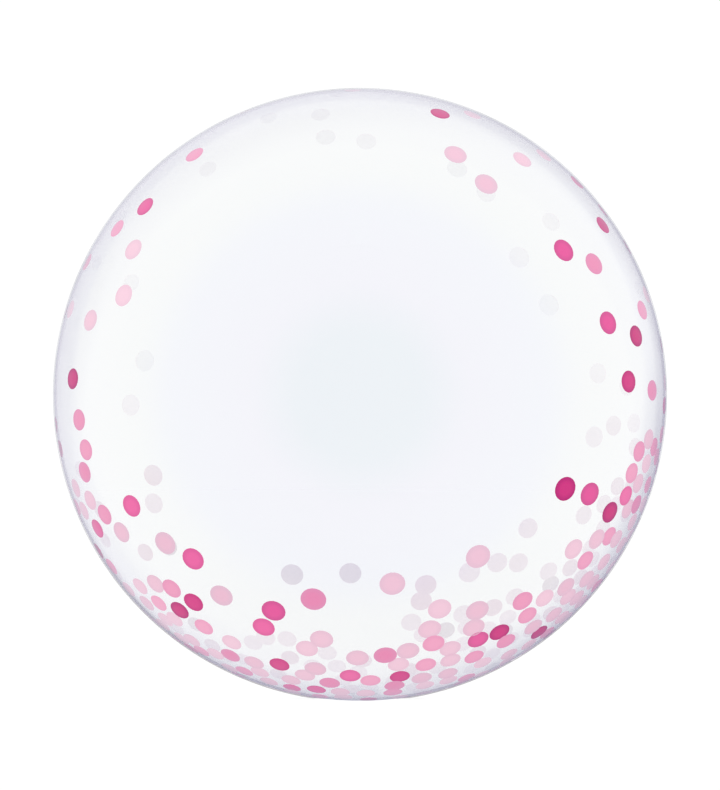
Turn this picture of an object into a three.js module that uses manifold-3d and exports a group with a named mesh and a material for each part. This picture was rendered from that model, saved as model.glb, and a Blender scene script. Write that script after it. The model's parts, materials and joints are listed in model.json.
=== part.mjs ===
// A clear bubble balloon that lies loose on a level surface.
// Two round panels of stretched film are heat-welded round their rims and filled until they
// make a ball. The filling neck, cut from the same film, lies folded back under the ball.
// Units are millimetres and +Z is up. The front panel faces -Y. The origin is the middle of
// the flat patch that the ball rests on.
import * as THREE from "three";
import { mergeVertices } from "three/addons/utils/BufferGeometryUtils.js";
import Module from "manifold-3d";

const wasm = await Module();
wasm.setup();

// The ball
const balloonDiameter = 610; // across the weld, where the balloon is widest
const weldWidth = 2.5; // how far the weld stands out from the film all round
const weldThickness = 1; // front to back, both films with their bead
const restingPatchDiameter = 50; // the film gives this much under the balloon's own weight
const ballSides = 80; // facets round the weld
const panelRings = 20; // facets from a panel's crown to the weld

// The filling neck
const neckWidth = 38; // of the flat sleeve
const neckReach = 112; // from the middle of the resting patch to the sleeve's end
const neckBend = 56; // where the sleeve begins, and springs up off the surface
const neckLift = 4; // degrees that the sleeve rises
const neckThickness = 1.2; // two films with the one-way valve flattened between them
const neckEndRadius = 6; // the rounded corners of the sleeve's end
const neckRootWidth = 62; // where the film gathers into the neck, at the resting patch
const neckRootStart = 8; // how far back the gathered film is at its widest

const filmRadius = balloonDiameter / 2 - weldWidth;
const patchRadius = restingPatchDiameter / 2;
const centreHeight = Math.sqrt(filmRadius ** 2 - patchRadius ** 2);
const buried = 2; // how deep a shape runs into its neighbour, or below the surface, before the cut

function toSolid(geometry) {
  const bare = geometry.clone();
  bare.deleteAttribute("normal");
  bare.deleteAttribute("uv");
  const merged = mergeVertices(bare, 1e-4);
  const mesh = new wasm.Mesh({
    numProp: 3,
    vertProperties: merged.attributes.position.array,
    triVerts: new Uint32Array(merged.index.array),
  });
  return new wasm.Manifold(mesh);
}

function toGeometry(solid) {
  const mesh = solid.getMesh();
  const geometry = new THREE.BufferGeometry();
  geometry.setAttribute("position", new THREE.BufferAttribute(mesh.vertProperties, 3));
  geometry.setIndex(new THREE.BufferAttribute(mesh.triVerts, 1));
  geometry.computeVertexNormals();
  return geometry;
}

// Both domed panels and the weld between them, as one profile turned about the front-to-back
// axis. It runs from the front crown out to the weld's edge and in again to the back crown.
function inflatedPanels() {
  const weldAngle = Math.asin(weldThickness / 2 / filmRadius);
  const quarter = Math.PI / 2 - weldAngle;
  const front = [];
  for (let ring = 0; ring <= panelRings; ring += 1) {
    const angle = (quarter * ring) / panelRings;
    front.push(new THREE.Vector2(filmRadius * Math.sin(angle), -filmRadius * Math.cos(angle)));
  }
  const weldEdge = new THREE.Vector2(balloonDiameter / 2, -weldThickness / 2);
  const half = [...front, weldEdge];
  const back = half.map((point) => new THREE.Vector2(point.x, -point.y)).reverse();
  const ball = new THREE.LatheGeometry([...half, ...back], ballSides);
  return ball.translate(0, 0, centreHeight);
}

// The gathered film between the ball and the sleeve, flat on the surface.
function neckRoot() {
  const half = neckRootWidth / 2;
  const sleeve = neckWidth / 2;
  const waist = (neckRootStart + neckBend) / 2;
  const outline = new THREE.Shape();
  outline.moveTo(-half, -neckRootStart);
  outline.lineTo(half, -neckRootStart);
  outline.lineTo(half, neckRootStart);
  outline.quadraticCurveTo(sleeve, waist, sleeve, neckBend);
  outline.lineTo(-sleeve, neckBend);
  outline.quadraticCurveTo(-sleeve, waist, -half, neckRootStart);
  const depth = buried + neckThickness;
  const root = new THREE.ExtrudeGeometry(outline, { depth, bevelEnabled: false, curveSegments: 8 });
  return root.translate(0, 0, -buried);
}

// The flat sleeve that the balloon is filled through, springing up a little off the surface.
function neckSleeve() {
  const half = neckWidth / 2;
  const end = (neckReach - neckBend) / Math.cos(THREE.MathUtils.degToRad(neckLift));
  const outline = new THREE.Shape();
  outline.moveTo(-half, -buried);
  outline.lineTo(half, -buried);
  outline.lineTo(half, end - neckEndRadius);
  outline.absarc(half - neckEndRadius, end - neckEndRadius, neckEndRadius, 0, Math.PI / 2);
  outline.absarc(neckEndRadius - half, end - neckEndRadius, neckEndRadius, Math.PI / 2, Math.PI);
  outline.lineTo(-half, -buried);
  const sleeve = new THREE.ExtrudeGeometry(outline, {
    depth: neckThickness,
    bevelEnabled: false,
    curveSegments: 6,
  });
  sleeve.rotateX(THREE.MathUtils.degToRad(neckLift));
  return sleeve.translate(0, neckBend, 0);
}

// Everything above the surface that the balloon lies on.
function aboveSurface() {
  const side = 2 * balloonDiameter;
  return new THREE.BoxGeometry(side, side, side).translate(0, 0, side / 2);
}

const film = new THREE.MeshStandardMaterial({
  color: 0xf3f5f9,
  roughness: 0.06,
  metalness: 0,
  transparent: true,
  opacity: 0.3,
});

const envelope = toSolid(inflatedPanels())
  .add(toSolid(neckRoot()))
  .add(toSolid(neckSleeve()))
  .intersect(toSolid(aboveSurface()));

const balloon = new THREE.Mesh(toGeometry(envelope), film);
balloon.name = "balloon";

const group = new THREE.Group();
group.add(balloon);

export default group;
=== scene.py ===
import json
import math

import bmesh
import bpy
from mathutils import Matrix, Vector


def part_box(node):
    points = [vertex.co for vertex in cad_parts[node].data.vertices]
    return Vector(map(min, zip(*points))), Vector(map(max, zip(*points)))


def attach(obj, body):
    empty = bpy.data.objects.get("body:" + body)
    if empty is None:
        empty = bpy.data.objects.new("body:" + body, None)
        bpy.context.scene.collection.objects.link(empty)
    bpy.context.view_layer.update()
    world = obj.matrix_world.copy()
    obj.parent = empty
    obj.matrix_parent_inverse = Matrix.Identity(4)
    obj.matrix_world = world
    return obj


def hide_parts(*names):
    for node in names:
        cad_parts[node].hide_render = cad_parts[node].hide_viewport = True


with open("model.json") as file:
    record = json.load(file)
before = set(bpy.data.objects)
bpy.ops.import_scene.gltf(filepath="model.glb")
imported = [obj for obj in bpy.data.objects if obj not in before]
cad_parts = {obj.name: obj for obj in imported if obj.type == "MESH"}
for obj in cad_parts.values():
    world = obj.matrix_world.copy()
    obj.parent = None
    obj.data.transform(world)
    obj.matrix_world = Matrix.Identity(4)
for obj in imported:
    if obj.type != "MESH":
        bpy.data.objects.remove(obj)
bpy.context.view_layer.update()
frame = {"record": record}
mm = 0.001

# the balloon's own measures, from the frame
low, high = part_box("balloon")
weldRadius = (high.x - low.x) / 2  # to the outer edge of the weld
filmRadius = (high.y - low.y) / 2
centreHeight = high.z - weldRadius
print("frame loaded: the film's radius is", round(filmRadius / mm, 1), "mm")


# ---- nodes as sums
class Wire:
    # one output socket that can be used in sums
    def __init__(self, board, socket):
        self.board = board
        self.socket = socket

    def __add__(self, other):
        return self.board.maths("ADD", self, other)

    def __sub__(self, other):
        return self.board.maths("SUBTRACT", self, other)

    def __mul__(self, other):
        return self.board.maths("MULTIPLY", self, other)

    def __truediv__(self, other):
        return self.board.maths("DIVIDE", self, other)

    def __pow__(self, other):
        return self.board.maths("POWER", self, other)

    def __radd__(self, other):
        return self.board.maths("ADD", other, self)

    def __rsub__(self, other):
        return self.board.maths("SUBTRACT", other, self)

    def __rmul__(self, other):
        return self.board.maths("MULTIPLY", other, self)

    def __neg__(self):
        return self.board.maths("MULTIPLY", self, -1)

    def clamped(self):
        return self.board.add("ShaderNodeClamp", {}, {"Value": self})["Result"]


class Made:
    # a node whose outputs are read by name or place
    def __init__(self, board, node):
        self.board = board
        self.node = node

    def __getitem__(self, name):
        return Wire(self.board, self.node.outputs[name])


class Board:
    # a node tree that nodes are added to
    def __init__(self, tree):
        self.tree = tree
        tree.nodes.clear()

    def add(self, kind, settings=None, inputs=None):
        node = self.tree.nodes.new(kind)
        for name, value in (settings or {}).items():
            if name == "stops":
                self.setStops(node.color_ramp, value)
            elif name == "curve":
                self.setCurve(node.mapping, value)
            else:
                setattr(node, name, value)
        for name, value in (inputs or {}).items():
            self.feed(node.inputs[name], value)
        return Made(self, node)

    def feed(self, socket, value):
        if isinstance(value, Wire):
            self.tree.links.new(value.socket, socket)
        elif socket.type == "RGBA" and len(value) == 3:
            socket.default_value = (*value, 1)
        else:
            socket.default_value = value

    def setStops(self, ramp, stops):
        while len(ramp.elements) > 1:
            ramp.elements.remove(ramp.elements[-1])
        for number, (place, colour) in enumerate(stops):
            element = ramp.elements[0] if number == 0 else ramp.elements.new(place)
            element.position = place
            element.color = (*colour, 1)

    def setCurve(self, mapping, points):
        curve = mapping.curves[0]
        while len(curve.points) > 2:
            curve.points.remove(curve.points[1])
        curve.points[0].location, curve.points[1].location = points[0], points[-1]
        for point in points[1:-1]:
            curve.points.new(*point)
        mapping.update()

    def maths(self, operation, first, second=None, third=None):
        inputs = {0: first}
        if second is not None:
            inputs[1] = second
        if third is not None:
            inputs[2] = third
        return self.add("ShaderNodeMath", {"operation": operation}, inputs)["Value"]

    def vector(self, operation, *values):
        settings = {"operation": operation}
        made = self.add("ShaderNodeVectorMath", settings, dict(enumerate(values)))
        return made["Value" if operation in ("LENGTH", "DOT_PRODUCT", "DISTANCE") else "Vector"]

    def scaled(self, vector, by):
        made = self.add("ShaderNodeVectorMath", {"operation": "SCALE"}, {0: vector, "Scale": by})
        return made["Vector"]

    def split(self, vector):
        made = self.add("ShaderNodeSeparateXYZ", {}, {"Vector": vector})
        return made["X"], made["Y"], made["Z"]

    def joined(self, x, y, z):
        return self.add("ShaderNodeCombineXYZ", {}, {"X": x, "Y": y, "Z": z})["Vector"]

    def noise(self, place, scale, detail=2, roughness=0.5):
        inputs = {"Vector": place, "Scale": scale, "Detail": detail, "Roughness": roughness}
        return self.add("ShaderNodeTexNoise", {"noise_dimensions": "3D"}, inputs)[0]

    def spread(self, value, start, end, low=0, high=1, kind="SMOOTHSTEP"):
        # value from start to end becomes low to high, and stays there
        settings = {"interpolation_type": kind, "clamp": True}
        inputs = {"Value": value, "From Min": start, "From Max": end, "To Min": low, "To Max": high}
        if kind == "SMOOTHSTEP":
            settings.pop("clamp")
        return self.add("ShaderNodeMapRange", settings, inputs)["Result"]

    def blended(self, share, first, second):
        settings = {"data_type": "RGBA", "blend_type": "MIX"}
        node = self.add("ShaderNodeMix", settings, {"Factor": share}).node
        self.feed(node.inputs[6], first)
        self.feed(node.inputs[7], second)
        return Wire(self, node.outputs[2])


def finishBoard(name):
    material = bpy.data.materials.new(name)
    material.use_nodes = True
    return material, Board(material.node_tree)


socketKinds = {float: "NodeSocketFloat", int: "NodeSocketInt", bpy.types.Material: "NodeSocketMaterial"}


def shapeBoard(name, sizes):
    # a geometry tree with one named input for each size
    tree = bpy.data.node_groups.new(name, "GeometryNodeTree")
    board = Board(tree)
    tree.interface.new_socket("Geometry", in_out="INPUT", socket_type="NodeSocketGeometry")
    tree.interface.new_socket("Geometry", in_out="OUTPUT", socket_type="NodeSocketGeometry")
    for size, value in sizes.items():
        kind = socketKinds[type(value)]
        tree.interface.new_socket(size, in_out="INPUT", socket_type=kind)
    given = board.add("NodeGroupInput")
    return board, given


def grown(name, board, last, sizes):
    # the tree's result as a plain mesh on an object of this name
    end = board.add("NodeGroupOutput")
    board.feed(end.node.inputs[0], last)
    holder = bpy.data.objects.new(name, bpy.data.meshes.new(name + "Seed"))
    bpy.context.scene.collection.objects.link(holder)
    modifier = holder.modifiers.new("shape", "NODES")
    modifier.node_group = board.tree
    for item in board.tree.interface.items_tree:
        if item.in_out == "INPUT" and item.name in sizes:
            modifier[item.identifier] = sizes[item.name]
    bpy.context.view_layer.update()
    depsgraph = bpy.context.evaluated_depsgraph_get()
    evaluated = holder.evaluated_get(depsgraph)
    mesh = bpy.data.meshes.new_from_object(evaluated, preserve_all_data_layers=True, depsgraph=depsgraph)
    holder.modifiers.remove(modifier)
    holder.data = mesh
    mesh.name = name
    print("made", name, "with", len(mesh.polygons), "faces")
    return holder


def smoothed(piece, sharpest=60):
    # smooth shading, with edges sharper than this many degrees kept crisp
    piece.data.polygons.foreach_set("use_smooth", [True] * len(piece.data.polygons))
    piece.data.set_sharp_from_angle(angle=math.radians(sharpest))
    piece.data.update()
    return piece


# ---- the clear film
film = {
    "sides": 512,
    "rings": 160,
    "closeRings": 0.35,  # how much closer the rings stand at the weld than halfway
    "weldDip": 0.7 * mm,  # the weld stretches less than the film and lies in a shallow groove
    "dipReach": 5 * mm,
    "puckerDepth": 0.3 * mm,  # fine radial puckers along the weld
    "puckerReach": 9 * mm,
    "puckerPitch": 13 * mm,
    "gatherDepth": 2.6 * mm,  # pleats that run into the neck
    "gatherReach": 42 * mm,
    "gatherCount": 3.4,
    "faceOn": 0.05,  # share of light that one wall of film mirrors straight on
    "steepness": 4,
    "tint": (0.955, 0.968, 0.978),
    "gloss": (0.98, 0.98, 1.0),
    "roughness": 0.035,
    "unevenGloss": 0.012,
    "cloudScale": 14,  # of the clouds in the gloss
    "unevenRoughness": 0.03,
    "veilScale": 60,  # of the rougher patches
    "swellScale": 5,  # of the film's slow swells
    "pullScale": 32,  # of the finer pull marks on them
    "pullShare": 0.12,
    "bumpStrength": 0.25,
    "bumpDepth": 1.6 * mm,
    "hazeRoughness": 0.6,
    "haze": 0.04,  # share of painted shade at the bottom, by the neck, laid on as a dull dark layer
    "hazeTop": 210 * mm,  # where it ends
    "hazeColour": (0.44, 0.43, 0.51),
}
neckRoot = 24 * mm  # how far behind the middle of the resting patch the film turns into the neck


def filmFinish():
    material, board = finishBoard("clearFilm")
    place = board.add("ShaderNodeTexCoord")["Object"]
    facing = board.add("ShaderNodeLayerWeight", {}, {"Blend": 0.5})["Facing"]
    cloud = board.noise(place, film["cloudScale"], detail=3)
    veil = board.noise(place, film["veilScale"], detail=2)
    share = film["faceOn"] + (1 - film["faceOn"]) * facing ** film["steepness"]
    share = share + film["unevenGloss"] * cloud
    roughness = film["roughness"] + film["unevenRoughness"] * board.spread(veil, 0.45, 0.75)
    swell = board.noise(place, film["swellScale"], detail=1)
    pull = board.noise(place, film["pullScale"], detail=2)
    height = swell + film["pullShare"] * pull
    inputs = {"Strength": film["bumpStrength"], "Distance": film["bumpDepth"], "Height": height}
    bump = board.add("ShaderNodeBump", {}, inputs)
    gloss = board.add(
        "ShaderNodeBsdfPrincipled",
        {},
        {
            "Base Color": film["gloss"],
            "Metallic": 0.9,
            "Roughness": roughness,
            "Normal": bump["Normal"],
        },
    )["BSDF"]
    clear = board.add("ShaderNodeBsdfTransparent", {}, {"Color": film["tint"]})["BSDF"]
    mixed = board.add("ShaderNodeMixShader", {}, {0: share, 1: clear, 2: gloss})["Shader"]
    _, _, height = board.split(place)
    # painted shade: a dull dark layer on the film that thickens towards the bottom
    bottomShadeShare = film["haze"] * board.spread(height, 0, film["hazeTop"], 1, 0) * (0.7 + 0.6 * cloud)
    inputs = {"Base Color": film["hazeColour"], "Roughness": film["hazeRoughness"]}
    dull = board.add("ShaderNodeBsdfPrincipled", {}, inputs)["BSDF"]
    bottomShaded = board.add("ShaderNodeMixShader", {}, {0: bottomShadeShare, 1: mixed, 2: dull})["Shader"]
    board.add("ShaderNodeOutputMaterial", {}, {"Surface": bottomShaded})
    return material


def filmSkin(finish):
    sizes = {
        "Film Radius": filmRadius,
        "Centre Height": centreHeight,
        "Sides": film["sides"],
        "Rings": film["rings"],
        "Close Rings": film["closeRings"],
        "Weld Dip": film["weldDip"],
        "Dip Reach": film["dipReach"],
        "Pucker Depth": film["puckerDepth"],
        "Pucker Reach": film["puckerReach"],
        "Pucker Pitch": film["puckerPitch"],
        "Gather Depth": film["gatherDepth"],
        "Gather Reach": film["gatherReach"],
        "Gather Count": film["gatherCount"],
        "Neck Root": neckRoot,
        "Finish": finish,
    }
    board, given = shapeBoard("filmShape", sizes)
    ball = board.add(
        "GeometryNodeMeshUVSphere",
        {},
        {"Segments": given["Sides"], "Rings": given["Rings"], "Radius": 1.0},
    )["Mesh"]
    x, y, z = board.split(board.add("GeometryNodeInputPosition")["Position"])

    # z runs from crown to crown, and the rings draw together at the weld
    share = board.maths("ARCSINE", z) / (math.pi / 2)
    packed = share * (given["Close Rings"] + (1 - given["Close Rings"]) * share * share)
    away = packed * (math.pi / 2)  # angle from the weld
    around = board.vector("NORMALIZE", board.joined(x, y, 0.0))
    aroundX, aroundY, _ = board.split(around)
    flat = board.maths("COSINE", away)
    outX = aroundX * flat
    outY = -board.maths("SINE", away)
    outZ = aroundY * flat

    # the groove and the puckers along the weld
    radius = given["Film Radius"]
    fromWeld = board.maths("ABSOLUTE", away) * radius
    groove = board.maths("EXPONENT", -((fromWeld / given["Dip Reach"]) ** 2))
    fade = board.maths("EXPONENT", -(fromWeld / given["Pucker Reach"]))
    wave = board.noise(around, radius / given["Pucker Pitch"], detail=1) - 0.5
    radius = radius - given["Weld Dip"] * groove + 2 * given["Pucker Depth"] * wave * fade
    ballX = outX * radius
    ballY = outY * radius
    ballZ = outZ * radius + given["Centre Height"]

    # pleats that fan out from the neck
    behind = ballY - given["Neck Root"]
    spoke = board.joined(ballX, behind, 0.0)
    reach = board.vector("LENGTH", spoke)
    fold = board.noise(board.vector("NORMALIZE", spoke), given["Gather Count"], detail=2) - 0.5
    lowDown = board.spread(ballZ, 0.02, 0.09, 1, 0)
    near = board.maths("EXPONENT", -(reach / given["Gather Reach"]))
    ballZ = ballZ + given["Gather Depth"] * fold * near * lowDown
    ballZ = board.maths("SMOOTH_MAX", ballZ, 0.0, 0.0003)  # it lies flat where it rests

    shaped = board.add(
        "GeometryNodeSetPosition",
        {},
        {"Geometry": ball, "Position": board.joined(ballX, ballY, ballZ)},
    )["Geometry"]
    whole = board.add("GeometryNodeRealizeInstances", {}, {"Geometry": shaped})["Geometry"]
    last = board.add("GeometryNodeSetMaterial", {}, {"Geometry": whole, "Material": given["Finish"]})
    return smoothed(grown("filmSkin", board, last["Geometry"], sizes))


# ---- the weld round the rim
weld = {
    "sides": 720,
    "sectionSides": 12,
    "thickness": 0.7 * mm,
    "bite": 1.2 * mm,  # how far it reaches into the film's groove
    "wave": 1.1 * mm,  # how far its edge waves to and fro
    "wavePitch": 15 * mm,
    "lift": 0.5 * mm,  # of the folded weld, off the floor
    "colour": (0.66, 0.67, 0.71),
    "deepColour": (0.5, 0.51, 0.56),
    "lowColour": (0.2, 0.17, 0.22),  # painted shade along the fold at the bottom, where the ball rests on the floor
    "lowTop": 260 * mm,
    "alpha": 0.36,
    "roughness": 0.28,
    "unevenRoughness": 0.2,
    "crimpScale": 420,  # of the fine marks that the welding bar leaves
    "crimpStrength": 0.2,
    "crimpDepth": 0.3 * mm,
    "patchScale": 9,  # of the lighter and darker stretches
}


def weldFinish():
    material, board = finishBoard("weldedFilm")
    place = board.add("ShaderNodeTexCoord")["Object"]
    crimp = board.noise(place, weld["crimpScale"], detail=2)
    patch = board.noise(place, weld["patchScale"], detail=3)
    colour = board.blended(board.spread(patch, 0.35, 0.7), weld["colour"], weld["deepColour"])
    _, _, height = board.split(place)
    # painted shade: the weld is darkened towards the bottom, where the ball meets the floor
    low = board.spread(height, 0, weld["lowTop"], 1, 0)
    colour = board.blended(low, colour, weld["lowColour"])
    inputs = {"Strength": weld["crimpStrength"], "Distance": weld["crimpDepth"], "Height": crimp}
    bump = board.add("ShaderNodeBump", {}, inputs)
    skin = board.add(
        "ShaderNodeBsdfPrincipled",
        {},
        {
            "Base Color": colour,
            "Roughness": weld["roughness"] + weld["unevenRoughness"] * crimp,
            "Alpha": weld["alpha"],
            "Normal": bump["Normal"],
        },
    )["BSDF"]
    board.add("ShaderNodeOutputMaterial", {}, {"Surface": skin})
    return material


def weldBead(finish):
    sizes = {
        "Inner Radius": filmRadius - weld["bite"],
        "Outer Radius": weldRadius,
        "Centre Height": centreHeight,
        "Sides": weld["sides"],
        "Section Sides": weld["sectionSides"],
        "Thickness": weld["thickness"],
        "Wave": weld["wave"],
        "Wave Pitch": weld["wavePitch"],
        "Lift": weld["lift"],
        "Finish": finish,
    }
    board, given = shapeBoard("weldShape", sizes)
    strip = board.add(
        "GeometryNodeMeshGrid",
        {},
        {
            "Size X": 1.0,
            "Size Y": 1.0,
            "Vertices X": given["Sides"] + 1,
            "Vertices Y": given["Section Sides"] + 1,
        },
    )["Mesh"]
    alongShare, sectionShare, _ = board.split(board.add("GeometryNodeInputPosition")["Position"])
    turn = alongShare * math.tau
    section = -sectionShare * math.tau
    across = board.maths("COSINE", section)
    squared = board.maths("SIGN", across) * board.maths("ABSOLUTE", across) ** 0.6
    half = (given["Outer Radius"] - given["Inner Radius"]) / 2
    middle = (given["Outer Radius"] + given["Inner Radius"]) / 2
    outward = board.maths("SINE", turn)
    upward = board.maths("COSINE", turn)
    radius = middle + half * squared
    wave = board.noise(
        board.joined(outward, 0.0, upward), given["Outer Radius"] / given["Wave Pitch"], detail=1
    )
    edge = (squared + 1) / 2
    side = given["Thickness"] / 2 * board.maths("SINE", section)
    side = side + given["Wave"] * (wave - 0.5) * edge
    x = outward * radius
    z = upward * radius + given["Centre Height"]
    under = board.maths("MAXIMUM", given["Lift"] + side * 0.5 - z, 0.0)
    shaped = board.add(
        "GeometryNodeSetPosition",
        {},
        {"Geometry": strip, "Position": board.joined(x, side + under, z + under)},
    )["Geometry"]
    closed = board.add("GeometryNodeMergeByDistance", {}, {"Geometry": shaped, "Distance": 1e-6})
    whole = board.add("GeometryNodeRealizeInstances", {}, {"Geometry": closed["Geometry"]})
    last = board.add(
        "GeometryNodeSetMaterial", {}, {"Geometry": whole["Geometry"], "Material": given["Finish"]}
    )
    return smoothed(grown("weldBead", board, last["Geometry"], sizes))


# ---- the printed confetti
confetti = {
    "seed": 90,
    "upperSeed": 248,
    "inkSeed": 300,
    "spacing": 22 * mm,  # no two dots of the crowded lower print are closer, middle to middle
    "upperSpacing": 40 * mm,  # and of the sprinkled upper print
    "tries": 9000,  # for each square metre
    "weldMargin": 9 * mm,  # bare film beside the weld
    "neckMargin": 48 * mm,  # bare film round the neck
    "dotRadius": 13.1 * mm,  # a dot at a panel's crown, where the film stretches the same both ways
    "narrowing": 1.2,  # how fast a dot narrows towards the weld, which can't stretch round the ball
    "lengthening": 0.25,  # how much longer it is pulled there
    "lift": 0.12 * mm,
    "liftSpread": 0.36 * mm,
    "thickness": 0.06 * mm,
    "sides": 20,
    # how full each print is, from the bottom of the ball to its top
    "fullByHeight": [
        (0, 1),
        (0.1, 1),
        (0.18, 0.85),
        (0.28, 0.68),
        (0.42, 0.52),
        (0.52, 0.32),
        (0.6, 0),
        (1, 0),
    ],
    "upperByHeight": [(0, 0), (0.52, 0), (0.6, 0.5), (0.75, 0.36), (1, 0.25)],
    "busierSide": 0.4,  # how much fuller the lower print is to the right
    "bolderTop": 1.6,  # how much likelier the strong inks are in the upper print
    "barerBack": 0.45,  # how much emptier the far panel is
    "palerBack": 0.12,  # share of its strongest ink that it goes without
    "clearAngle": 46.0,  # degrees of bare film round a crown
    "clearAngleBelow": 34.0,  # and towards the bottom
    # how the lower print fills in, from the bare film to the weld
    "fullByReach": [(0, 0), (0.05, 0.3), (0.28, 0.4), (0.38, 0.65), (0.5, 0.95), (0.6, 1), (1, 1)],
}
# each ink's colour, the same laid thinner, its darker edge, which also serves as painted shade towards
# the weld, and how it shows through the balloon
inks = {
    "magenta": {
        "from": 0.0,
        "colour": (0.56, 0.018, 0.185),
        "thin": (0.66, 0.055, 0.25),
        "edge": (0.36, 0.014, 0.155),
        "back": (0.7, 0.7, 0.73),
        "alpha": 1.0,
    },
    "rose": {
        "from": 0.14,
        "colour": (0.72, 0.075, 0.3),
        "thin": (0.84, 0.16, 0.4),
        "edge": (0.54, 0.09, 0.27),
        "back": (0.76, 0.71, 0.755),
        "alpha": 1.0,
    },
    "blush": {
        "from": 0.22,
        "colour": (0.76, 0.21, 0.41),
        "thin": (0.87, 0.37, 0.55),
        "edge": (0.7, 0.26, 0.45),
        "back": (0.82, 0.72, 0.78),
        "alpha": 0.95,
    },
    "pearl": {
        "from": 0.48,
        "colour": (0.78, 0.41, 0.56),
        "thin": (0.87, 0.54, 0.67),
        "edge": (0.68, 0.44, 0.57),
        "back": (0.86, 0.79, 0.84),
        "alpha": 0.82,
    },
}
upperBack = {  # what shows of any ink through the balloon's upper half, where the print is thinner
    "from": 140 * mm,
    "to": 380 * mm,
    "most": 0.9,
    "colour": (0.955, 0.955, 0.965),
}
inkLook = {
    "denseReach": 150 * mm,  # from the weld, over which the painted shade on the ink fades out
    "densest": 0.9,
    "mottleScale": 700,
    "mottle": 0.3,
    "grainScale": 2600,
    "grainStrength": 0.12,
    "grainDepth": 0.1 * mm,
    "roughness": 0.1,
    "unevenRoughness": 0.12,
    "specular": 0.12,
    "backMottleScale": 500,
    "backRoughness": 0.5,
    "backSpecular": 0.2,
    "backDulled": 0.94,  # tone of a back's dullest spots, next to its colour
}
weldPaintedShade = {  # painted shade: the ink is darkened most by the weld, where the ball's outline is seen from the front
    "from": 30 * mm,
    "to": 96 * mm,
    "most": 0.4,
    "colour": (0.22, 0.05, 0.15),
}
inkGloss = {"steepness": 9, "most": 0.85, "colour": (0.96, 0.95, 1.0), "roughness": 0.08}


def inkFinish(name, ink):
    material, board = finishBoard(name + "Ink")
    place = board.add("ShaderNodeTexCoord")["Object"]
    edge = board.add("ShaderNodeAttribute", {"attribute_name": "edge"})["Fac"]
    tone = board.add("ShaderNodeAttribute", {"attribute_name": "tone"})["Fac"]
    mottle = board.noise(place, inkLook["mottleScale"], detail=3)
    laid = tone + inkLook["mottle"] * (mottle - 0.5)
    colour = board.blended(laid.clamped(), ink["thin"], ink["colour"])
    _, fromWeld, _ = board.split(place)
    fromWeld = board.maths("ABSOLUTE", fromWeld)
    # painted shade: the ink is darkened towards the weld, where the ball's outline is seen from the
    # front; the darker ring at each dot's edge is the ink's own
    rimShade = board.spread(fromWeld, 0, inkLook["denseReach"], inkLook["densest"], 0)
    ring = board.spread(edge, 0.42, 0.97) * (0.25 + 0.5 * tone)
    edgeRingAndRimShade = board.maths("MAXIMUM", rimShade, ring)
    colour = board.blended(edgeRingAndRimShade, colour, ink["edge"])
    # painted shade on the ink by the weld
    weldShadeShare = board.spread(fromWeld, weldPaintedShade["from"], weldPaintedShade["to"], weldPaintedShade["most"], 0)
    colour = board.blended(weldShadeShare, colour, weldPaintedShade["colour"])
    grain = board.noise(place, inkLook["grainScale"], detail=2)
    inputs = {"Strength": inkLook["grainStrength"], "Distance": inkLook["grainDepth"], "Height": grain}
    bump = board.add("ShaderNodeBump", {}, inputs)
    skin = board.add(
        "ShaderNodeBsdfPrincipled",
        {},
        {
            "Base Color": colour,
            "Roughness": inkLook["roughness"] + inkLook["unevenRoughness"] * mottle,
            "Alpha": ink["alpha"],
            "Specular IOR Level": inkLook["specular"],
            "Normal": bump["Normal"],
        },
    )["BSDF"]
    gloss = board.add(
        "ShaderNodeBsdfPrincipled",
        {},
        {"Base Color": inkGloss["colour"], "Metallic": 0.9, "Roughness": inkGloss["roughness"]},
    )["BSDF"]
    facing = board.add("ShaderNodeLayerWeight", {}, {"Blend": 0.5})["Facing"]
    share = inkGloss["most"] * facing ** inkGloss["steepness"]
    skin = board.add("ShaderNodeMixShader", {}, {0: share, 1: skin, 2: gloss})["Shader"]
    board.add("ShaderNodeOutputMaterial", {}, {"Surface": skin})
    return material


def backFinish(name, ink):
    # the side of a dot that is seen through the balloon
    material, board = finishBoard(name + "Back")
    place = board.add("ShaderNodeTexCoord")["Object"]
    mottle = board.noise(place, inkLook["backMottleScale"], detail=3)
    dull = [inkLook["backDulled"] * channel for channel in ink["back"]]
    colour = board.blended(board.spread(mottle, 0.3, 0.7), ink["back"], dull)
    _, _, height = board.split(place)
    fade = board.spread(height, upperBack["from"], upperBack["to"], 0, upperBack["most"])
    colour = board.blended(fade, colour, upperBack["colour"])
    skin = board.add(
        "ShaderNodeBsdfPrincipled",
        {},
        {
            "Base Color": colour,
            "Roughness": inkLook["backRoughness"] + 0.2 * mottle,
            "Specular IOR Level": inkLook["backSpecular"],
        },
    )["BSDF"]
    board.add("ShaderNodeOutputMaterial", {}, {"Surface": skin})
    return material


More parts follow.
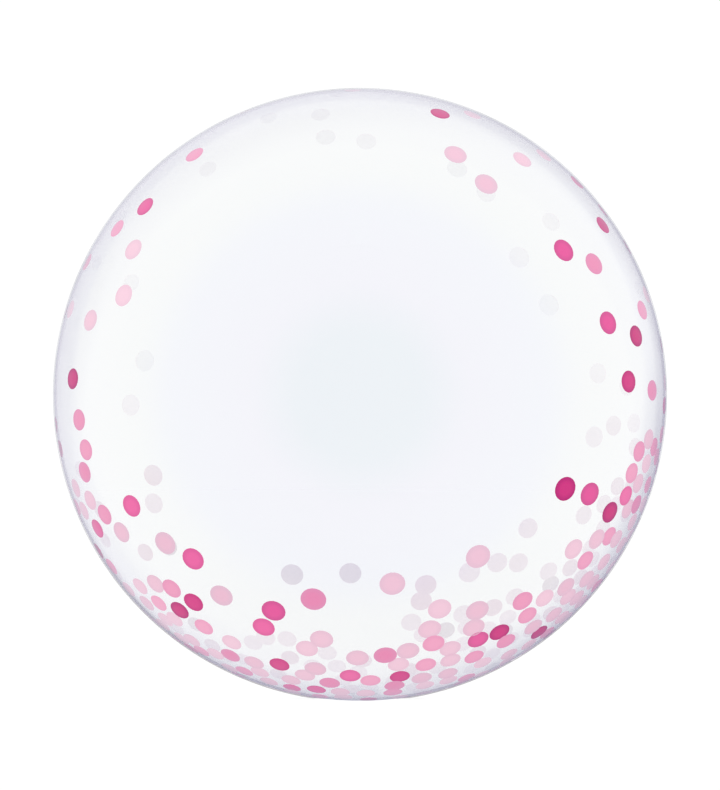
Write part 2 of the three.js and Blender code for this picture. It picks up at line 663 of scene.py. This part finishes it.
def confettiTree(sizes):
    board, given = shapeBoard("confettiPrint", sizes)
    radius = given["Film Radius"]
    ball = board.add("GeometryNodeMeshIcoSphere", {}, {"Radius": 1.0, "Subdivisions": 6})["Mesh"]
    x, y, z = board.split(board.add("GeometryNodeInputPosition")["Position"])

    # where the print may be, and how full it is there
    fromCrown = board.maths("ARCCOSINE", board.maths("ABSOLUTE", y)) / math.radians(1)
    clear = board.spread(z, -0.65, -0.15, given["Clear Angle Below"], given["Clear Angle"])
    reach = (fromCrown - clear) / (90 - clear)
    settings = {"curve": confetti["fullByReach"]}
    filled = board.add("ShaderNodeFloatCurve", settings, {"Value": reach})["Value"]
    begun = board.spread(reach, 0, 0.1)
    margin = given["Weld Margin"] / radius
    offWeld = board.maths("GREATER_THAN", board.maths("ABSOLUTE", y), margin)
    neckReach = board.vector("LENGTH", board.joined(x, y, 0.0)) * radius
    lowDown = board.maths("LESS_THAN", z, 0.0)
    nearNeck = lowDown * board.maths("LESS_THAN", neckReach, given["Neck Margin"])
    farPanel = board.maths("GREATER_THAN", y, 0.0)
    allowed = offWeld * (1 - nearNeck) * (1 - given["Barer Back"] * farPanel)
    busier = 1 + given["Busier Side"] * x
    height = (z + 1) / 2

    def scattered(curve, spacing, seed, window):
        # points that keep their distance, most where the curve is high
        full = board.add("ShaderNodeFloatCurve", {"curve": curve}, {"Value": height})["Value"]
        inputs = {
            "Mesh": ball,
            "Distance Min": spacing / radius,
            "Density Max": given["Tries"] * radius * radius,
            "Density Factor": full * window * allowed,
            "Seed": seed,
        }
        settings = {"distribute_method": "POISSON"}
        return board.add("GeometryNodeDistributePointsOnFaces", settings, inputs)["Points"]

    def chance(seed):
        # a random number for each dot, the same each time
        node = board.add("FunctionNodeRandomValue", {"data_type": "FLOAT"}).node
        board.feed(node.inputs[8], seed)
        return Wire(board, node.outputs[1])

    def kept(geometry, name, value):
        # stores a number on each point
        settings = {"data_type": "FLOAT", "domain": "POINT"}
        inputs = {"Geometry": geometry, "Name": name, "Value": value}
        return board.add("GeometryNodeStoreNamedAttribute", settings, inputs)["Geometry"]

    def read(name):
        settings = {"data_type": "FLOAT"}
        return board.add("GeometryNodeInputNamedAttribute", settings, {"Name": name})["Attribute"]

    lower = scattered(confetti["fullByHeight"], given["Spacing"], given["Seed"], filled * busier)
    upper = scattered(confetti["upperByHeight"], given["Upper Spacing"], given["Upper Seed"], begun)
    joined = board.add("GeometryNodeJoinGeometry")
    for points in (upper, lower):
        board.feed(joined.node.inputs[0], points)
    _, pointY, pointZ = board.split(board.add("GeometryNodeInputPosition")["Position"])
    paler = given["Paler Back"] * board.maths("GREATER_THAN", pointY, 0.0)
    bolder = 1 + given["Bolder Top"] * board.spread(pointZ, -0.15, 0.25)
    choice = paler + (1 - paler) * chance(given["Ink Seed"]) ** bolder
    points = kept(joined["Geometry"], "inkChoice", choice)
    points = kept(points, "tone", chance(given["Seed"] + 2))
    points = kept(points, "lift", given["Lift"] + given["Lift Spread"] * chance(given["Seed"] + 3))
    choice = read("inkChoice")
    unwanted = board.maths("LESS_THAN", choice, given["Ink From"])
    unwanted = unwanted + board.maths("GREATER_THAN", choice, given["Ink To"] - 1e-7)
    points = board.add(
        "GeometryNodeDeleteGeometry", {"domain": "POINT"}, {"Geometry": points, "Selection": unwanted}
    )["Geometry"]

    # one flat dot, with its printed side up
    blank = board.add(
        "GeometryNodeMeshCylinder",
        {"fill_type": "TRIANGLE_FAN"},
        {"Vertices": given["Sides"], "Side Segments": 1, "Fill Segments": 2, "Radius": 1.0, "Depth": 1.0},
    )["Mesh"]
    blankX, blankY, blankZ = board.split(board.add("GeometryNodeInputPosition")["Position"])
    blank = kept(blank, "outer", blankZ + 0.5)
    blank = kept(blank, "edge", board.vector("LENGTH", board.joined(blankX, blankY, 0.0)))

    # the panels were printed flat, so a dot's shape follows how the film is stretched there
    spot = board.add("GeometryNodeInputPosition")["Position"]
    _, spotY, _ = board.split(spot)
    turn = board.maths("ARCCOSINE", board.maths("ABSOLUTE", spotY))  # angle from the crown
    size = given["Dot Radius"] / radius * (0.97 + 0.06 * read("tone"))
    wide = size * (board.maths("SINE", turn) / turn) ** given["Narrowing"]
    long = size * (1 + given["Lengthening"] * (turn / (math.pi / 2)) ** 3)
    acrossWay = board.vector("CROSS_PRODUCT", (0, 1, 0), spot)
    turned = board.add(
        "FunctionNodeAxesToRotation",
        {"primary_axis": "Z", "secondary_axis": "X"},
        {"Primary Axis": spot, "Secondary Axis": acrossWay},
    )["Rotation"]
    inputs = {
        "Points": points,
        "Instance": blank,
        "Rotation": turned,
        "Scale": board.joined(wide, long, 0.001),
    }
    placed = board.add("GeometryNodeInstanceOnPoints", {}, inputs)["Instances"]
    whole = board.add("GeometryNodeRealizeInstances", {}, {"Geometry": placed})["Geometry"]

    # each dot is wrapped on to the ball, its printed side outermost
    spot = board.add("GeometryNodeInputPosition")["Position"]
    outer = read("outer")
    wrapRadius = radius + read("lift") + given["Thickness"] * outer
    wrapped = board.scaled(board.vector("NORMALIZE", spot), wrapRadius)
    wrapped = board.vector("ADD", wrapped, board.joined(0.0, 0.0, given["Centre Height"]))
    shaped = board.add("GeometryNodeSetPosition", {}, {"Geometry": whole, "Position": wrapped})
    inputs = {"Geometry": shaped["Geometry"], "Material": given["Ink"]}
    printed = board.add("GeometryNodeSetMaterial", {}, inputs)["Geometry"]
    inner = board.maths("LESS_THAN", outer, 0.4)
    inputs = {"Geometry": printed, "Selection": inner, "Material": given["Back"]}
    return board, board.add("GeometryNodeSetMaterial", {}, inputs)["Geometry"]


def confettiDots(name, ink, nextShare):
    sizes = {
        "Film Radius": filmRadius,
        "Centre Height": centreHeight,
        "Seed": confetti["seed"],
        "Upper Seed": confetti["upperSeed"],
        "Ink Seed": confetti["inkSeed"],
        "Spacing": confetti["spacing"],
        "Upper Spacing": confetti["upperSpacing"],
        "Tries": confetti["tries"],
        "Busier Side": confetti["busierSide"],
        "Bolder Top": confetti["bolderTop"],
        "Barer Back": confetti["barerBack"],
        "Paler Back": confetti["palerBack"],
        "Clear Angle": confetti["clearAngle"],
        "Clear Angle Below": confetti["clearAngleBelow"],
        "Weld Margin": confetti["weldMargin"],
        "Neck Margin": confetti["neckMargin"],
        "Dot Radius": confetti["dotRadius"],
        "Narrowing": confetti["narrowing"],
        "Lengthening": confetti["lengthening"],
        "Lift": confetti["lift"],
        "Lift Spread": confetti["liftSpread"],
        "Thickness": confetti["thickness"],
        "Sides": confetti["sides"],
        "Ink From": ink["from"],
        "Ink To": nextShare,
        "Ink": inkFinish(name, ink),
        "Back": backFinish(name, ink),
    }
    board, last = confettiTree(sizes)
    return smoothed(grown(name + "Dots", board, last, sizes), sharpest=30)


# ---- the neck that the balloon was filled through
neckMount = next(mount for mount in frame["record"]["mounts"] if mount["name"] == "neck_sleeve")
neckRise = -neckMount["axis"][1] / neckMount["axis"][2]  # how steeply the sleeve lifts off the floor
neck = {
    "start": 20 * mm,
    "rootWidth": 60 * mm,
    "width": 38 * mm,
    "flareEnd": 52 * mm,
    "bend": 56 * mm,
    "reach": 112 * mm,
    "thickness": 1.15 * mm,
    "sideWeld": 3 * mm,
    "weldThickness": 0.45 * mm,
    "endSeal": 8 * mm,
    "endRadius": 6 * mm,
    "fluteDepth": 0.3 * mm,
    "flutes": 3,
    "stations": 110,
    "across": 64,
    "colour": (0.74, 0.76, 0.82),
    "deepColour": (0.6, 0.62, 0.7),
    "alpha": 0.3,
    "roughness": 0.12,
    "sealRoughness": 0.2,  # how much rougher the end seal is
    "sealEdge": 0.5 * mm,
    "ribPitch": 1.1 * mm,  # of the ribs that the sealing bar presses in
    "ribHeight": 0.15,  # next to the film's own unevenness
    "bumpDepth": 0.6 * mm,
    "cloudScale": 90,
}


def eased(value, start, end):
    # 0 before start, 1 after end, and a smooth rise between them
    share = min(max((value - start) / (end - start), 0), 1)
    return share * share * (3 - 2 * share)


def neckFinish():
    material, board = finishBoard("neckFilm")
    place = board.add("ShaderNodeTexCoord")["Object"]
    _, along, _ = board.split(place)
    sealStart = neck["reach"] - neck["endSeal"]
    sealed = board.spread(along, sealStart, sealStart + neck["sealEdge"])
    ribs = board.maths("SINE", along * (math.tau / neck["ribPitch"]))
    cloud = board.noise(place, neck["cloudScale"], detail=3)
    colour = board.blended(board.spread(cloud, 0.35, 0.65), neck["colour"], neck["deepColour"])
    height = cloud + neck["ribHeight"] * ribs * sealed
    inputs = {"Strength": 0.4, "Distance": neck["bumpDepth"], "Height": height}
    bump = board.add("ShaderNodeBump", {}, inputs)
    skin = board.add(
        "ShaderNodeBsdfPrincipled",
        {},
        {
            "Base Color": colour,
            "Roughness": neck["roughness"] + neck["sealRoughness"] * cloud * sealed,
            "Alpha": neck["alpha"],
            "Normal": bump["Normal"],
        },
    )["BSDF"]
    board.add("ShaderNodeOutputMaterial", {}, {"Surface": skin})
    return material


def neckHalfWidth(y):
    flare = 1 - eased(y, neck["start"], neck["flareEnd"])
    half = (neck["width"] + (neck["rootWidth"] - neck["width"]) * flare) / 2
    intoCorner = y - (neck["reach"] - neck["endRadius"])
    if intoCorner > 0:
        half -= neck["endRadius"] - math.sqrt(max(neck["endRadius"] ** 2 - intoCorner**2, 0))
    return half


def neckSection(y):
    # one flattened ring of points round the sleeve, top side first
    floor = max(y - neck["bend"], 0) * neckRise
    gap = centreHeight - math.sqrt(filmRadius**2 - y**2)  # between the floor and the ball
    full = min(neck["thickness"], 0.15 * mm + 0.8 * gap)
    sealed = eased(y, neck["reach"] - neck["endSeal"] - 4 * mm, neck["reach"] - neck["endSeal"])
    half = neckHalfWidth(y)
    tube = 1 - neck["sideWeld"] / half
    top, bottom = [], []
    for step in range(neck["across"] + 1):
        share = -math.cos(math.pi * step / neck["across"])
        swollen = (1 - eased(abs(share), tube - 0.12, tube)) * (1 - sealed)
        edge = math.sqrt(max(1 - abs(share) ** 12, 0))
        thin = min(neck["weldThickness"], full)
        flute = math.cos(share * math.pi * neck["flutes"] + 9 * y / neck["reach"])
        rise = thin + (full - thin - neck["fluteDepth"] * (0.5 + 0.5 * flute)) * swollen
        rise = max(rise, 0.1 * mm) * edge
        top.append(Vector((share * half, y, floor + rise)))
        if 0 < step < neck["across"]:
            bottom.append(Vector((share * half, y, floor)))
    return top + bottom[::-1]


def neckSleeve(finish):
    mesh = bpy.data.meshes.new("neckSleeve")
    shape = bmesh.new()
    length = neck["reach"] - neck["start"]
    rings = []
    for station in range(neck["stations"] + 1):
        share = math.sin(math.pi / 2 * station / neck["stations"])  # closest where the end is rounded
        y = neck["start"] + length * share
        rings.append([shape.verts.new(point) for point in neckSection(y)])
    for near, far in zip(rings, rings[1:]):
        for corner in range(len(near)):
            after = (corner + 1) % len(near)
            shape.faces.new([near[corner], near[after], far[after], far[corner]])
    shape.faces.new(rings[0][::-1])
    shape.faces.new(rings[-1])
    bmesh.ops.remove_doubles(shape, verts=shape.verts, dist=1e-6)
    bmesh.ops.recalc_face_normals(shape, faces=shape.faces)
    shape.to_mesh(mesh)
    shape.free()
    piece = bpy.data.objects.new("neckSleeve", mesh)
    bpy.context.scene.collection.objects.link(piece)
    mesh.materials.append(finish)
    print("made neckSleeve with", len(mesh.polygons), "faces")
    return smoothed(piece)


# ---- the set
studio = {
    "cameraDistance": 3.6,
    "focalLength": 165.2,
    "floorRadius": 8,
    "floorColour": (0.9, 0.9, 0.9),
    "backdrop": (1.035, 1.035, 1.035),
    "white": (1.15, 1.15, 1.15),  # lights the floor up to the backdrop's tone
    # what the film mirrors, by degrees from the camera's side of the room to the far side
    "room": [
        (0, (0.02, 0.18, 0.35)),
        (24, (0.05, 0.2, 0.38)),
        (42, (0.62, 0.38, 0.7)),
        (75, (0.72, 0.6, 0.82)),
        (92, (1.05, 0.93, 0.74)),
        (116, (1.1, 1.02, 0.9)),
        (140, (1.05, 1.03, 1.03)),
        (180, (1.04, 1.03, 1.05)),
    ],
    "brightest": (1.1, 1.06, 1.06),
    # duller parts of the room: their direction, the degrees from it where they are dullest and where
    # they end, and their tone
    "patches": [
        {"towards": (0, 0.966, -0.26), "core": 47, "reach": 53, "tone": (-0.14, -0.14, -0.09)},
        {"towards": (0, 1, 0), "core": 10, "reach": 26, "tone": (-0.15, -0.15, -0.14)},
        {"towards": (-0.43, 0.9, 0), "core": 8, "reach": 22, "tone": (-0.07, -0.07, -0.06)},
        {"towards": (0.33, 0.88, 0.33), "core": 8, "reach": 22, "tone": (-0.15, -0.15, -0.14)},
        {"towards": (0.58, 0.8, -0.12), "core": 7, "reach": 15, "tone": (-0.2, -0.2, -0.18)},
        {"towards": (0.43, 0.9, 0), "core": 5, "reach": 11, "tone": (-0.11, -0.11, -0.1)},
        {"towards": (0.33, 0.88, -0.33), "core": 5, "reach": 12, "tone": (-0.15, -0.15, -0.14)},
        {"towards": (-0.22, 0.95, -0.22), "core": 3, "reach": 7, "tone": (-0.1, -0.1, -0.12)},
        {"towards": (0.18, 0.9, -0.38), "core": 16, "reach": 40, "tone": (-0.38, -0.38, -0.33)},
    ],
}


def lightRoom():
    world = bpy.data.worlds.new("lightTent")
    bpy.context.scene.world = world
    world.use_nodes = True
    board = Board(world.node_tree)
    towards = board.vector("NORMALIZE", board.add("ShaderNodeTexCoord")["Generated"])
    _, farther, _ = board.split(towards)
    turn = board.maths("ARCCOSINE", -farther) / math.pi
    stops = [(angle / 180, colour) for angle, colour in studio["room"]]
    seen = board.add("ShaderNodeValToRGB", {"stops": stops}, {"Fac": turn})["Color"]
    for patch in studio["patches"]:
        aim = Vector(patch["towards"]).normalized()
        away = board.maths("ARCCOSINE", board.vector("DOT_PRODUCT", towards, aim)) / math.radians(1)
        share = board.spread(away, patch["core"], patch["reach"], 1, 0)
        seen = board.vector("ADD", seen, board.scaled(patch["tone"], share))
    seen = board.vector("MAXIMUM", seen, (0, 0, 0))
    seen = board.vector("MINIMUM", seen, studio["brightest"])
    path = board.add("ShaderNodeLightPath")
    mirrored = path["Is Glossy Ray"] * board.maths("LESS_THAN", path["Diffuse Depth"], 0.5)
    colour = board.blended(mirrored, studio["white"], seen)
    colour = board.blended(path["Is Camera Ray"], colour, studio["backdrop"])
    light = board.add("ShaderNodeBackground", {}, {"Color": colour, "Strength": 1.0})["Background"]
    board.add("ShaderNodeOutputWorld", {}, {"Surface": light})
    world.cycles.sampling_method = "NONE"
    print("the light tent is up")


def layFloor():
    mesh = bpy.data.meshes.new("studioFloor")
    shape = bmesh.new()
    bmesh.ops.create_circle(shape, cap_ends=True, segments=96, radius=studio["floorRadius"])
    shape.to_mesh(mesh)
    shape.free()
    floor = bpy.data.objects.new("studioFloor", mesh)
    floor.location.z = -0.2 * mm
    bpy.context.scene.collection.objects.link(floor)
    material, board = finishBoard("floorPaint")
    inputs = {"Color": studio["floorColour"], "Roughness": 0.0}
    paint = board.add("ShaderNodeBsdfDiffuse", {}, inputs)["BSDF"]
    board.add("ShaderNodeOutputMaterial", {}, {"Surface": paint})
    mesh.materials.append(material)
    floor.visible_glossy = False


def placeCamera():
    lens = bpy.data.cameras.new("camera")
    lens.sensor_width = 36
    lens.lens = studio["focalLength"]
    camera = bpy.data.objects.new("camera", lens)
    camera.location = (0, -studio["cameraDistance"], centreHeight)
    camera.rotation_euler = (math.radians(90), 0, 0)
    bpy.context.scene.collection.objects.link(camera)
    bpy.context.scene.camera = camera


placeCamera()
layFloor()
lightRoom()
bpy.context.scene.view_settings.view_transform = "Standard"
bpy.context.scene.cycles.transparent_max_bounces = 48
bpy.context.scene.cycles.max_bounces = 16
bpy.context.scene.cycles.glossy_bounces = 8

ball = filmSkin(filmFinish())
ball.visible_diffuse = False  # clear film casts next to no shadow
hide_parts("balloon")
bead = weldBead(weldFinish())
sleeve = neckSleeve(neckFinish())
for piece in (ball, bead, sleeve):
    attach(piece, "root")
shares = [ink["from"] for ink in inks.values()][1:] + [1.01]
for (name, ink), nextShare in zip(inks.items(), shares):
    dots = confettiDots(name, ink, nextShare)
    dots.visible_diffuse = False  # so that the print doesn't tint the floor
    dots.visible_glossy = False  # nor show once more, faintly, in the film
    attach(dots, "root")
